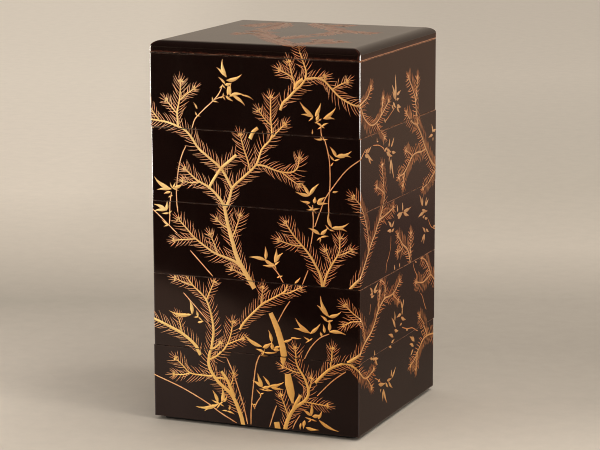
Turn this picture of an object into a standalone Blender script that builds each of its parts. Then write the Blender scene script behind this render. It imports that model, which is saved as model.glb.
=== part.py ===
"""Tiered lacquer food box: five square trays stacked under one flat lid.

Every tray is an open box whose bottom board stands proud below the wall, a little in from its
faces, so that it drops into the rim of the tray beneath. The lid locates in the top tray with a
shallow lip in the same way. Nothing is fixed: each piece lifts off the one below it.

Lengths are in metres. +Z is up, the front is -Y, and the origin is the middle of the stack's
footprint, on the surface that the stack stands on.
"""

import math

import bmesh
import bpy

WIDTH = 0.2200  # across the front
DEPTH = 0.2130  # front to back
TRAY_PITCH = 0.0730  # height that each tray adds to the stack
TRAY_COUNT = 5
WALL = 0.0066
BOARD_ABOVE = 0.0042  # bottom board's thickness above the wall's lower edge
FOOT_DROP = 0.0038  # how far the bottom board stands below the wall
FOOT_PLAY = 0.0010  # room on each side between a foot and the rim that it drops into
GAP = 0.0003  # left between pieces that rest on each other

CORNER_RADIUS = 0.0012
INNER_CORNER_RADIUS = 0.0030
FOOT_CORNER_RADIUS = 0.0030
CORNER_STEPS = 4
EDGE_ROUND = 0.0005  # rims, lower edges and the foot are eased by this much

LID_HEIGHT = 0.0119
LID_SIDE_HEIGHT = 0.0057  # upright part of the lid's side, below the shoulder
LID_SHOULDER = 0.0108  # how far in from the side the shoulder reaches the flat top
LID_SHOULDER_STEPS = 9
LID_BOARD = 0.0050
LID_LIP_DROP = 0.0035
LID_LIP_WIDTH = 0.0050

# How far each piece sits to one side of the stack's middle, the trays from the top down.
# A hand-stacked set never lines up better than the play around its feet.
LID_SLIP = 0.0
TRAY_SLIPS = (-0.0001, 0.0006, 0.0003, 0.0002, -0.0006)

SHARP_ANGLE = math.radians(35)
LACQUER_BLACK = (0.0070, 0.0055, 0.0048, 1.0)
LACQUER_ROUGHNESS = 0.12


def ring_points(inset, radius, z):
    """Corner-rounded rectangle, this far inside the outer faces, anticlockwise from above."""
    straight_x = WIDTH / 2 - inset - radius
    straight_y = DEPTH / 2 - inset - radius
    points = []
    for corner, (side_x, side_y) in enumerate(((1, 1), (-1, 1), (-1, -1), (1, -1))):
        for step in range(CORNER_STEPS + 1):
            angle = math.radians(90) * (corner + step / CORNER_STEPS)
            x = side_x * straight_x + radius * math.cos(angle)
            y = side_y * straight_y + radius * math.sin(angle)
            points.append((x, y, z))
    return points


def loft_mesh(name, levels):
    """Closed mesh through a chain of rings, each given as (inset, corner radius, height).

    The chain runs up the outside, over the rim and down the inside, so that one loft makes a
    hollow tray. The first and the last ring are capped.
    """
    sketch = bmesh.new()
    rings = []
    for level in levels:
        rings.append([sketch.verts.new(point) for point in ring_points(*level)])
    for lower, upper in zip(rings, rings[1:]):
        for i in range(len(lower)):
            j = (i + 1) % len(lower)
            sketch.faces.new((lower[i], lower[j], upper[j], upper[i]))
    sketch.faces.new(reversed(rings[0]))
    sketch.faces.new(rings[-1])
    bmesh.ops.recalc_face_normals(sketch, faces=sketch.faces)
    mesh = bpy.data.meshes.new(name)
    sketch.to_mesh(mesh)
    sketch.free()
    mesh.shade_smooth()
    mesh.set_sharp_from_angle(angle=SHARP_ANGLE)
    return mesh


def tray_levels():
    """Foot, wall, rim and inside of a tray. Height 0 is the wall's lower edge."""
    foot_inset = WALL + FOOT_PLAY
    rim = TRAY_PITCH - GAP
    return [
        (foot_inset + EDGE_ROUND, FOOT_CORNER_RADIUS, -FOOT_DROP),
        (foot_inset, FOOT_CORNER_RADIUS, -FOOT_DROP + EDGE_ROUND),
        (foot_inset, FOOT_CORNER_RADIUS, 0.0),
        (EDGE_ROUND, CORNER_RADIUS, 0.0),
        (0.0, CORNER_RADIUS, EDGE_ROUND),
        (0.0, CORNER_RADIUS, rim - EDGE_ROUND),
        (EDGE_ROUND, CORNER_RADIUS, rim),
        (WALL - EDGE_ROUND, INNER_CORNER_RADIUS, rim),
        (WALL, INNER_CORNER_RADIUS, rim - EDGE_ROUND),
        (WALL, INNER_CORNER_RADIUS, BOARD_ABOVE),
    ]


def lid_levels():
    """Hollow, lip, side and shoulder of the lid. Height 0 is the side's lower edge."""
    lip_outer = WALL + FOOT_PLAY
    lip_inner = lip_outer + LID_LIP_WIDTH
    levels = [
        (lip_inner, INNER_CORNER_RADIUS, LID_HEIGHT - LID_BOARD),
        (lip_inner, INNER_CORNER_RADIUS, -LID_LIP_DROP + EDGE_ROUND),
        (lip_inner - EDGE_ROUND, INNER_CORNER_RADIUS, -LID_LIP_DROP),
        (lip_outer + EDGE_ROUND, FOOT_CORNER_RADIUS, -LID_LIP_DROP),
        (lip_outer, FOOT_CORNER_RADIUS, -LID_LIP_DROP + EDGE_ROUND),
        (lip_outer, FOOT_CORNER_RADIUS, 0.0),
        (EDGE_ROUND, CORNER_RADIUS, 0.0),
        (0.0, CORNER_RADIUS, EDGE_ROUND),
    ]
    for step in range(LID_SHOULDER_STEPS + 1):
        angle = math.radians(90) * step / LID_SHOULDER_STEPS
        inset = LID_SHOULDER * (1 - math.cos(angle))
        rise = (LID_HEIGHT - LID_SIDE_HEIGHT) * math.sin(angle)
        levels.append((inset, CORNER_RADIUS, LID_SIDE_HEIGHT + rise))
    return levels


def lacquer_material():
    material = bpy.data.materials.new("black_lacquer")
    material.use_nodes = True
    shader = material.node_tree.nodes["Principled BSDF"]
    shader.inputs["Base Color"].default_value = LACQUER_BLACK
    shader.inputs["Roughness"].default_value = LACQUER_ROUGHNESS
    shader.inputs["Metallic"].default_value = 0.0
    return material


def clear_scene():
    for leftover in list(bpy.data.objects):
        bpy.data.objects.remove(leftover)


def place(name, mesh, slip, height, stack):
    piece = bpy.data.objects.new(name, mesh)
    piece.location = (slip, 0.0, height)
    piece.parent = stack
    bpy.context.scene.collection.objects.link(piece)


def build():
    clear_scene()
    lacquer = lacquer_material()
    stack = bpy.data.objects.new("stack", None)
    bpy.context.scene.collection.objects.link(stack)

    tray_mesh = loft_mesh("tray", tray_levels())
    tray_mesh.materials.append(lacquer)
    for number, slip in enumerate(TRAY_SLIPS, start=1):
        height = FOOT_DROP + (TRAY_COUNT - number) * TRAY_PITCH
        place(f"tier_{number}", tray_mesh, slip, height, stack)

    lid_mesh = loft_mesh("lid", lid_levels())
    lid_mesh.materials.append(lacquer)
    place("lid", lid_mesh, LID_SLIP, FOOT_DROP + TRAY_COUNT * TRAY_PITCH, stack)


build()
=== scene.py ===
"""Looks of a tiered lacquer food box: five black trays and a lid, with pine and bamboo in gold.

Every wall is a hollow shell that stands for its CAD node, a gold line's height inside the CAD
faces, so that the raised gold ends flush with them. The picture is drawn flat, in millimetres:
"along" runs round the four walls from the front left corner, and "up" from the floor, over the
lid's shoulder and back across its top. Each stroke is a closed raised body. The strokes are cut
where one tray ends and the next begins, and then wrapped on their own tray.
"""

import math
import random

import bmesh
import bpy
from mathutils import Matrix, Vector


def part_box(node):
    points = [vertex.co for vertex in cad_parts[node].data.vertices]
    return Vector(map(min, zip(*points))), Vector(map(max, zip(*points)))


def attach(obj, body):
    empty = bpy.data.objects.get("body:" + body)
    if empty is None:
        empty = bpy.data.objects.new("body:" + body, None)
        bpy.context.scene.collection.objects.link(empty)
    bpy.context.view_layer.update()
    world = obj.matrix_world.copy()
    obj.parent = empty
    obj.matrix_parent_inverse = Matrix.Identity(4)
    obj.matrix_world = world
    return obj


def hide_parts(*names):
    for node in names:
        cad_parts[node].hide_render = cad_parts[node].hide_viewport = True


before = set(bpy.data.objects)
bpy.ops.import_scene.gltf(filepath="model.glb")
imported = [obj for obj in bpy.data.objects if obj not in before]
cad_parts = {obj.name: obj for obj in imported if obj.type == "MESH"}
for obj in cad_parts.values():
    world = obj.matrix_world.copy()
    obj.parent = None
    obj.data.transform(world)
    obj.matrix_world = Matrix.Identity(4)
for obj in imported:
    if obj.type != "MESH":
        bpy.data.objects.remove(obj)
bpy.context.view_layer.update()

MM = 0.001
QUARTER = math.radians(90)
BODY = "root"
TRAYS = ["tier_1", "tier_2", "tier_3", "tier_4", "tier_5"]
LID = "lid"

# ---------------------------------------------------------------- sizes in millimetres
tray_low, tray_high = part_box("tier_3")
WIDTH = (tray_high.x - tray_low.x) / MM
DEPTH = (tray_high.y - tray_low.y) / MM
FOOT_DROP = 3.8  # how far a tray's bottom board stands below its wall
TRAY_PITCH = (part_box("tier_1")[0].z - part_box("tier_2")[0].z) / MM
SEAM = [FOOT_DROP + TRAY_PITCH * k for k in range(6)]  # lower edges of the walls, then the lid's
LOWER_EDGE = dict(zip([LID] + TRAYS, reversed(SEAM)))

RELIEF = 0.15  # height of the gold above the lacquer
SINK = 0.12  # how far each stroke reaches into the lacquer
CORNER = 1.2  # plan radius of the outer corners
FACE_CORNER = CORNER - RELIEF  # and of the lacquer's face
INNER_CORNER = 3.0
FOOT_CORNER = 3.0
EDGE = 0.3  # eased edges
WALL = 6.6
FOOT_PLAY = 1.0
FOOT = WALL + FOOT_PLAY  # how far in the foot and the lid's lip stand
BOARD_ABOVE = 4.2
GAP = 0.3
EDGE_STEPS = 4
CORNER_STEPS = 8
BARE_TRAY = 0.15  # how far the bared wood shows below a tray's rim
BARE_LID = 0.6  # and above the lid's lower edge
WEAR_BAND = 3.0  # the worn look fades out over this much of a face

LID_SIDE = 5.7
LID_SHOULDER = 10.8
LID_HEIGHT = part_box(LID)[1].z / MM - SEAM[5]
LID_RISE = LID_HEIGHT - LID_SIDE
LID_BOARD = 5.0
LID_LIP_DROP = 3.5
LID_LIP_WIDTH = 5.0
SHOULDER_STEPS = 16
SHOULDER_EASE = 0.6  # the side's plain part ends this far below the shoulder


# ---------------------------------------------------------------- building nodes
def new_finish(name):
    """A new material, its node tree and its shader."""
    material = bpy.data.materials.new(name)
    material.use_nodes = True
    return material, material.node_tree, material.node_tree.nodes["Principled BSDF"]


def shade(colour):
    """A colour with its alpha; one number makes a grey."""
    return (*colour, 1.0) if isinstance(colour, tuple) else (colour, colour, colour, 1.0)


def feed(tree, node, inputs):
    """Sets each named input to its value, or links it to the socket that is given for it."""
    for name, value in inputs.items():
        socket = node.inputs[name]
        if isinstance(value, bpy.types.NodeSocket):
            tree.links.new(value, socket)
        else:
            socket.default_value = shade(value) if socket.type == "RGBA" else value


def add(tree, kind, output, inputs, **settings):
    """A new node with these settings and inputs, as its output of that name."""
    node = tree.nodes.new(kind)
    for name, value in settings.items():
        setattr(node, name, value)
    feed(tree, node, inputs)
    return node.outputs[output]


def place_of(tree):
    return add(tree, "ShaderNodeTexCoord", "Object", {})


def axis(tree, name, source=None):
    """One coordinate of a place, which is the object's own unless a source is given."""
    return add(tree, "ShaderNodeSeparateXYZ", name, {"Vector": source or place_of(tree)})


def along_way(tree, source, way):
    """How far a place lies along a direction."""
    return add(tree, "ShaderNodeVectorMath", "Value", {0: source, 1: way}, operation="DOT_PRODUCT")


def stretched(tree, x, y, z):
    return add(tree, "ShaderNodeMapping", "Vector", {"Scale": (x, y, z), "Vector": place_of(tree)})


def noise(tree, scale, detail=4.0, roughness=0.55, source=None):
    inputs = {"Scale": scale, "Detail": detail, "Roughness": roughness}
    return add(tree, "ShaderNodeTexNoise", "Fac", {**inputs, "Vector": source or place_of(tree)})


def ramp(tree, source, stops):
    """A colour ramp with these stops, each (position, colour)."""
    node = tree.nodes.new("ShaderNodeValToRGB")
    points = node.color_ramp.elements
    points.remove(points[1])
    points[0].position = stops[0][0]
    points[0].color = shade(stops[0][1])
    for position, colour in stops[1:]:
        points.new(position).color = shade(colour)
    tree.links.new(source, node.inputs["Fac"])
    return node.outputs["Color"]


FACTOR, COLOUR_A, COLOUR_B, RESULT = 0, 6, 7, 2  # where a mix node keeps its colour sockets


def mix(tree, factor, first, second, blend="MIX"):
    """Two colours mixed by factor. Each of the three is a socket or a value."""
    return add(tree, "ShaderNodeMix", RESULT, {FACTOR: factor, COLOUR_A: first, COLOUR_B: second},
               data_type="RGBA", blend_type=blend)


def times(tree, first, second):
    return add(tree, "ShaderNodeMath", "Value", {0: first, 1: second}, operation="MULTIPLY")


def plus(tree, first, second):
    return add(tree, "ShaderNodeMath", "Value", {0: first, 1: second}, operation="ADD")


def bump(tree, height, distance, strength):
    inputs = {"Height": height, "Distance": distance, "Strength": strength}
    return add(tree, "ShaderNodeBump", "Normal", inputs)


# ---------------------------------------------------------------- materials
SIDE_BEGINS = (WIDTH / 2 - 1.5) * MM  # what lies beyond this is on the right side
# Over these spans the gold's tone is painted light: lit at the left, shaded to the right and higher up.
PAINTED_LIGHT_WIDTH = 0.22  # metres, over which the gold's tone changes from left to right
PAINTED_LIGHT_HEIGHT = 0.38  # and from the floor up


def black_lacquer(name, brown, ior=1.5, tint=(1.0, 0.80, 0.64)):
    """Polished black lacquer: a slow waviness, faint rubbed marks, and brown worn edges."""
    material, tree, shader = new_finish(name)
    body = ramp(tree, noise(tree, 14.0, 3.0), [(0.35, (0.0085, 0.0034, 0.0026)),
                                               (0.75, (0.0130, 0.0058, 0.0046))])
    edge = add(tree, "ShaderNodeAttribute", "Fac", {}, attribute_name="edge")
    worn = ramp(tree, times(tree, edge, noise(tree, 260.0, 6.0, 0.7)), [(0.30, 0.0), (0.62, 1.0)])
    rubbed = noise(tree, 1.0, 5.0, 0.65, stretched(tree, 60.0, 60.0, 14.0))
    feed(tree, shader, {
        "Base Color": mix(tree, worn, body, brown),
        "Roughness": ramp(tree, rubbed, [(0.30, 0.060), (0.62, 0.09), (0.80, 0.14)]),
        "IOR": ior,
        "Specular Tint": tint,
        "Normal": bump(tree, noise(tree, 9.0, 2.0), 0.0010, 0.35),
    })
    return material


def rim_lacquer(name, brown, copper, bared, more, sheen):
    """The eased edges of the walls: brown where the black has worn thin, with coppery flecks.

    The flecks start at the noise level bared, which is lower by more on the right side: the extra
    copper there is a painted highlight. sheen is how strongly the edge mirrors the lights.
    """
    material, tree, shader = new_finish(name)
    wear = noise(tree, 1.0, 5.0, 0.65, stretched(tree, 70.0, 70.0, 500.0))
    flecks = noise(tree, 1.0, 6.0, 0.75, stretched(tree, 260.0, 260.0, 900.0))
    body = ramp(tree, wear, [(0.44, (0.008, 0.0035, 0.0027)), (0.64, brown)])
    # painted highlight: more copper flecks on the right side
    right_highlight_mask = add(tree, "ShaderNodeMath", "Value", {0: axis(tree, "X"), 1: SIDE_BEGINS},
                   operation="GREATER_THAN")
    bare = plus(tree, flecks, times(tree, right_highlight_mask, more))
    bright = ramp(tree, bare, [(bared, 0.0), (bared + 0.10, 0.9)])
    feed(tree, shader, {
        "Base Color": mix(tree, bright, body, copper),
        "Roughness": ramp(tree, wear, [(0.3, 0.18), (0.7, 0.40)]),
        "Specular IOR Level": sheen,
        "Specular Tint": (1.0, 0.76, 0.62),
        "Normal": bump(tree, flecks, 0.0001, 0.5),
    })
    return material


def inner_lacquer():
    """The plain satin lacquer inside the trays and under them."""
    material, tree, shader = new_finish("satin_lacquer")
    cloud = noise(tree, 22.0, 5.0, 0.6)
    feed(tree, shader, {
        "Base Color": ramp(tree, cloud, [(0.3, (0.0100, 0.0055, 0.0042)),
                                         (0.7, (0.0190, 0.0095, 0.0068))]),
        "Roughness": ramp(tree, cloud, [(0.3, 0.24), (0.7, 0.38)]),
        "Normal": bump(tree, noise(tree, 160.0, 3.0), 0.0002, 0.25),
    })
    return material


def gold(name, tones, foot, bare, gloss, clear=0.0):
    """Sprinkled gold: a fine powder grain, brown where it is rubbed. Its tones are painted light:
    paler at the left of the front, redder and dimmer to the right side, and dimmer higher up.

    tones are the pale and the deep gold at the left of the front, at its right, and on the right
    side: lit and shaded copies, as painted light. foot is what they are multiplied by low down on
    the box, as painted light that is brighter and warmer there.
    gloss is its lowest and highest roughness, and clear is how much polished clear lacquer lies
    over the powder.
    """
    material, tree, shader = new_finish(name)
    drift = noise(tree, 55.0, 4.0)
    left, right, beside = (ramp(tree, drift, [(0.34, tones[k + 1]), (0.66, tones[k])])
                           for k in (0, 2, 4))
    # painted light: from the lit left of the front to its shaded right, then the shaded right side
    across = plus(tree, times(tree, axis(tree, "X"), 1 / PAINTED_LIGHT_WIDTH), 0.5)
    body = mix(tree, ramp(tree, across, [(0.0, 0.0), (0.62, 1.0)]), left, right)
    body = mix(tree, ramp(tree, across, [(0.97, 0.0), (0.995, 1.0)]), body, beside)
    # painted light: brighter and warmer low down, dimmer higher up
    height = times(tree, axis(tree, "Z"), 1 / PAINTED_LIGHT_HEIGHT)
    depth = ramp(tree, height, [(0.15, foot), (0.40, (0.97, 0.98, 1.0)), (0.55, (0.90, 0.93, 0.98)),
                                (0.90, (0.87, 0.92, 0.99))])
    body = mix(tree, 1.0, body, depth, "MULTIPLY")
    rubbed = ramp(tree, noise(tree, 420.0, 6.0, 0.72), [(0.60, 0.0), (0.74, 0.7)])
    grain = noise(tree, 2600.0, 2.0)
    feed(tree, shader, {
        "Base Color": mix(tree, rubbed, body, bare),
        "Roughness": ramp(tree, grain, [(0.3, gloss[0]), (0.7, gloss[1])]),
        "Metallic": 0.85,
        "Coat Weight": clear,
        "Coat Roughness": 0.08,
        "Normal": bump(tree, grain, 0.00006, 0.5),
    })
    return material


def red_ground():
    """The red-brown lacquer under the gold, where it shows as a thin line beside each stroke."""
    material, tree, shader = new_finish("red_ground")
    feed(tree, shader, {
        "Base Color": ramp(tree, noise(tree, 300.0, 5.0), [(0.35, (0.24, 0.034, 0.006)),
                                                           (0.65, (0.34, 0.052, 0.009))]),
        "Roughness": ramp(tree, noise(tree, 60.0), [(0.3, 0.30), (0.7, 0.42)]),
        "Specular IOR Level": 0.12,
    })
    return material


# Each gold: its name, its tones, lit and shaded as painted light, its foot, painted light low down,
# the ground where it is rubbed, and its roughness.
GOLDS = [
    ("raised_gold", ((0.79, 0.60, 0.26), (0.72, 0.47, 0.17), (0.78, 0.445, 0.145),
                     (0.68, 0.35, 0.10), (0.69, 0.40, 0.18), (0.58, 0.30, 0.12)),
     (1.07, 1.06, 0.88), (0.34, 0.13, 0.05), (0.44, 0.56)),
    ("thin_gold", ((0.87, 0.61, 0.35), (0.79, 0.47, 0.23), (0.79, 0.43, 0.19),
                   (0.68, 0.32, 0.12), (0.78, 0.39, 0.16), (0.66, 0.29, 0.09)),
     (1.0, 1.0, 0.90), (0.30, 0.12, 0.06), (0.46, 0.60)),
]
LID_TONES = ((0.76, 0.36, 0.15), (0.66, 0.30, 0.12)) * 3


def floor_paper():
    """Pale paper with painted shade: darker round the box and behind it, lighter farther back."""
    material, tree, shader = new_finish("pale_paper_painted_shade")
    place = place_of(tree)
    away = plus(tree, times(tree, along_way(tree, place, (-0.387, 0.922, 0.0)), 0.25), 0.15)
    # painted shade and shadow: darker near the box and in a band behind it, lighter towards the
    # backdrop
    left = ramp(tree, away, [(0.10, (0.72, 0.627, 0.519)), (0.15, (0.89, 0.775, 0.64)),
                             (0.21, (0.63, 0.547, 0.452)), (0.27, (0.47, 0.41, 0.336)),
                             (0.35, (0.67, 0.58, 0.475)), (0.46, (0.87, 0.755, 0.62)),
                             (0.60, (0.92, 0.80, 0.66)), (0.80, (0.97, 0.85, 0.70))])
    right = ramp(tree, away, [(0.10, (0.66, 0.575, 0.475)), (0.15, (0.46, 0.40, 0.33)),
                              (0.21, (0.41, 0.356, 0.292)), (0.27, (0.45, 0.39, 0.32)),
                              (0.35, (0.635, 0.55, 0.45)), (0.46, (0.62, 0.54, 0.44)),
                              (0.60, (0.67, 0.585, 0.48)), (0.80, (0.77, 0.67, 0.55))])
    # painted shade: darker to the right of the box than to its left
    across = plus(tree, along_way(tree, place, (0.922, 0.387, 0.0)), 0.5)
    side = ramp(tree, across, [(0.15, 0.0), (0.40, 0.6), (0.85, 1.0)])
    fibres = ramp(tree, noise(tree, 46.0, 6.0, 0.7), [(0.3, 0.94), (0.7, 1.0)])
    feed(tree, shader, {
        "Base Color": mix(tree, 1.0, mix(tree, side, left, right), fibres, "MULTIPLY"),
        "Roughness": ramp(tree, noise(tree, 30.0), [(0.3, 0.85), (0.7, 0.95)]),
        "Specular IOR Level": 0.0,
    })
    return material


# ---------------------------------------------------------------- hollow lacquer shells
OUTER, RIM, INNER, CORNERS = 0, 1, 2, 3  # the materials of a shell
RING_QUARTER = CORNER_STEPS + 3  # points of a ring in each quarter: the corner's and two beside it
SHELL_CREASE = math.radians(50)
UNDERSIDE = (RELIEF + EDGE + 0.3, CORNER, 0.0, 0.0, INNER)  # where a wall's lower edge begins


def linked(name, data):
    """A new object in the scene, with this mesh, light or camera."""
    thing = bpy.data.objects.new(name, data)
    bpy.context.scene.collection.objects.link(thing)
    return thing


def ring(inset, radius, centre, up):
    """Corner-rounded rectangle of the walls' plan, as (point, is it in the corner's band)."""
    out = []
    reach_x = WIDTH / 2 - inset - radius
    reach_y = DEPTH / 2 - inset - radius
    for corner, (side_x, side_y) in enumerate(((1, 1), (-1, 1), (-1, -1), (1, -1))):
        start = QUARTER * corner
        along = Vector((-math.sin(start), math.cos(start)))
        middle = Vector((side_x * reach_x, side_y * reach_y))
        arc = []
        for step in range(CORNER_STEPS + 1):
            angle = start + QUARTER * step / CORNER_STEPS
            arc.append(middle + radius * Vector((math.cos(angle), math.sin(angle))))
        out.append((arc[0] - along * WEAR_BAND, 0.0))
        out += [(point, 1.0) for point in arc]
        out.append((arc[-1] + Vector((-along.y, along.x)) * WEAR_BAND, 0.0))
    return [((point.x + centre, point.y, up), mark) for point, mark in out]


def shell(name, levels, centre, lift, materials):
    """One closed shell through rings. A level is (inset, radius, height, wear, material)."""
    sketch = bmesh.new()
    edge = sketch.verts.layers.float.new("edge")
    rings = []
    for level in levels:
        inset, radius, up, wear, _ = level
        made = []
        for (x, y, z), mark in ring(inset, radius, centre, up + lift):
            vertex = sketch.verts.new((x * MM, y * MM, z * MM))
            vertex[edge] = wear if level is levels[-1] else max(wear, mark)
            made.append(vertex)
        rings.append(made)
    for lower, upper, level in zip(rings, rings[1:], levels):
        for i in range(len(lower)):
            j = (i + 1) % len(lower)
            face = sketch.faces.new((lower[i], lower[j], upper[j], upper[i]))
            on_corner = 0 < i % RING_QUARTER <= CORNER_STEPS
            face.material_index = CORNERS if on_corner and level[4] == OUTER else level[4]
    sketch.faces.new(reversed(rings[0])).material_index = levels[0][4]
    sketch.faces.new(rings[-1]).material_index = levels[-1][4]
    bmesh.ops.recalc_face_normals(sketch, faces=sketch.faces)
    mesh = bpy.data.meshes.new(name)
    sketch.to_mesh(mesh)
    sketch.free()
    for material in materials:
        mesh.materials.append(material)
    mesh.shade_smooth()
    mesh.set_sharp_from_angle(angle=SHELL_CREASE)
    piece = linked(name, mesh)
    weighted = piece.modifiers.new("flat_faces", "WEIGHTED_NORMAL")
    weighted.weight = 100
    weighted.keep_sharp = True
    return piece


def eased():
    """(sine, cosine) at the steps of an eased edge, through a quarter turn."""
    turns = [QUARTER * step / EDGE_STEPS for step in range(EDGE_STEPS + 1)]
    return [(math.sin(turn), math.cos(turn)) for turn in turns]


def lower_edge(above):
    """The eased lower edge of a wall. above is the material of the face that it runs into."""
    edge = [(RELIEF + EDGE * (1 - sine), FACE_CORNER, EDGE * (1 - cosine), 1.0, RIM)
            for sine, cosine in eased()[:-1]]
    return [UNDERSIDE] + edge + [(RELIEF, FACE_CORNER, EDGE, 1.0, above)]


def tray_levels():
    """Foot, wall, rim and inside of a tray. Height 0 is the wall's lower edge."""
    rim = TRAY_PITCH - GAP
    foot = [(FOOT + EDGE, FOOT_CORNER, -FOOT_DROP, 1.0, INNER),
            (FOOT, FOOT_CORNER, -FOOT_DROP + EDGE, 1.0, INNER),
            (FOOT, FOOT_CORNER, 0.0, 0.0, INNER)]
    wall = [(RELIEF, FACE_CORNER, EDGE + WEAR_BAND, 0.0, OUTER),
            (RELIEF, FACE_CORNER, rim - EDGE - WEAR_BAND, 0.0, OUTER),
            (RELIEF, FACE_CORNER, rim - EDGE - BARE_TRAY, 1.0, RIM)]
    for sine, cosine in eased():
        wall.append((RELIEF + EDGE * (1 - cosine), FACE_CORNER, rim - EDGE * (1 - sine), 1.0, RIM))
    for sine, cosine in eased()[:-1]:
        wall.append((WALL - EDGE * (1 - sine), INNER_CORNER, rim - EDGE * (1 - cosine), 1.0, RIM))
    inside = [(WALL, INNER_CORNER, rim - EDGE, 1.0, INNER),
              (WALL, INNER_CORNER, BOARD_ABOVE + EDGE, 0.0, INNER),
              (WALL + EDGE, INNER_CORNER, BOARD_ABOVE, 0.0, INNER)]
    return foot + lower_edge(OUTER) + wall + inside


def shoulder(angle, depth=0.0):
    """(inset, height above the lid's lower edge) on the lid's rounded shoulder, this deep in it."""
    normal = Vector((math.cos(angle) / LID_SHOULDER, math.sin(angle) / LID_RISE)).normalized()
    inset = LID_SHOULDER * (1 - math.cos(angle)) + depth * normal.x
    up = LID_SIDE + LID_RISE * math.sin(angle) - depth * normal.y
    return inset, up


def lid_levels():
    """Hollow, lip, side and shoulder of the lid. Height 0 is the side's lower edge."""
    inner = FOOT + LID_LIP_WIDTH
    hollow = [(inner + EDGE, INNER_CORNER, LID_HEIGHT - LID_BOARD, 0.0, INNER),
              (inner, INNER_CORNER, LID_HEIGHT - LID_BOARD - EDGE, 0.0, INNER),
              (inner, INNER_CORNER, -LID_LIP_DROP + EDGE, 1.0, INNER),
              (inner - EDGE, INNER_CORNER, -LID_LIP_DROP, 1.0, INNER),
              (FOOT + EDGE, FOOT_CORNER, -LID_LIP_DROP, 1.0, INNER),
              (FOOT, FOOT_CORNER, -LID_LIP_DROP + EDGE, 1.0, INNER),
              (FOOT, FOOT_CORNER, 0.0, 0.0, INNER)]
    side = [(RELIEF, FACE_CORNER, EDGE + BARE_LID, 1.0, OUTER),
            (RELIEF, FACE_CORNER, LID_SIDE - SHOULDER_EASE, 0.0, OUTER)]
    for step in range(SHOULDER_STEPS + 1):
        inset, up = shoulder(QUARTER * step / SHOULDER_STEPS, RELIEF)
        side.append((inset, FACE_CORNER, up, 0.0, OUTER))
    return hollow + lower_edge(RIM) + side


# ---------------------------------------------------------------- strokes, drawn flat
CURVE_STEPS = 12  # on each stretch of a curve
GROUND_HEIGHT = 0.008
GROUND_WIDTH = 0.20  # how far the red ground shows beyond the gold
GROUND_FULL = 0.3  # strokes narrower than this show less of it


def smooth_line(points, step):
    """Evenly spaced points on a Catmull-Rom curve through the given ones."""
    given = [Vector(p) for p in points]
    given = [2 * given[0] - given[1]] + given + [2 * given[-1] - given[-2]]
    dense = []
    for a, b, c, d in zip(given, given[1:], given[2:], given[3:]):
        for k in range(CURVE_STEPS):
            t = k / CURVE_STEPS
            dense.append(0.5 * ((2 * b) + (c - a) * t + (2 * a - 5 * b + 4 * c - d) * t * t
                                + (3 * b - a - 3 * c + d) * t ** 3))
    dense.append(given[-2])
    lengths = [0.0]
    for p, q in zip(dense, dense[1:]):
        lengths.append(lengths[-1] + (q - p).length)
    count = max(2, round(lengths[-1] / step))
    line = []
    at = 0
    for k in range(count + 1):
        want = lengths[-1] * k / count
        while at < len(lengths) - 2 and lengths[at + 1] < want:
            at += 1
        share = (want - lengths[at]) / max(1e-9, lengths[at + 1] - lengths[at])
        line.append(dense[at].lerp(dense[at + 1], min(1.0, share)))
    return line


def turned(direction, degrees):
    angle = math.radians(degrees)
    return Vector((direction.x * math.cos(angle) - direction.y * math.sin(angle),
                   direction.x * math.sin(angle) + direction.y * math.cos(angle)))


def heading(line, i):
    before = line[max(0, i - 1)]
    after = line[min(len(line) - 1, i + 1)]
    return (after - before).normalized()


def spread(widths, count):
    """The given widths, read evenly along a line of count points."""
    out = []
    for i in range(count):
        at = i / (count - 1) * (len(widths) - 1)
        k = min(int(at), len(widths) - 2)
        out.append(widths[k] + (widths[k + 1] - widths[k]) * (at - k))
    return out


def section(crown):
    """A stroke's cross-section, as (share of the width, height, side of the bare ground).

    The crown is gold. On both sides of it the red lacquer that the gold was laid in shows bare.
    """
    left = [(-0.5, -SINK, -1), (-0.5, GROUND_HEIGHT, -1)]
    right = [(0.5, GROUND_HEIGHT, 1), (0.5, -SINK, 1)]
    return left + [(across, height, 0) for across, height in crown] + right


STEM = section([(-0.5, 0.03), (-0.34, 0.11), (0.0, RELIEF), (0.34, 0.11), (0.5, 0.03)])
LEAF = section([(-0.5, 0.03), (-0.1, 0.10), (0.0, 0.135), (0.1, 0.10), (0.5, 0.03)])
HAIR = section([(-0.46, 0.04), (0.46, 0.04)])
THICK, THIN, GROUND = 0, 1, 2  # raised gold, the thinner gold of needles, and the red ground
COATS = 3  # in one picture

BOUGH_SHARE = 0.78  # of a bough's stated width that its gold fills
REACH = 13.5  # the usual length of a needle
FINE = 9  # steps between two needles
ROOT_NEEDLES, ROOT_RUN = 0.66, 26  # how short needles start at the root, and how soon they grow
TIP_NEEDLES, TIP_RUN = 0.80, 22  # and the same from the tip back
SCALES = 5  # of a bud
LEAF_WIDTHS = (0.14, 0.62, 0.95, 1.0, 0.86, 0.62, 0.38, 0.18, 0.0)


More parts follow.
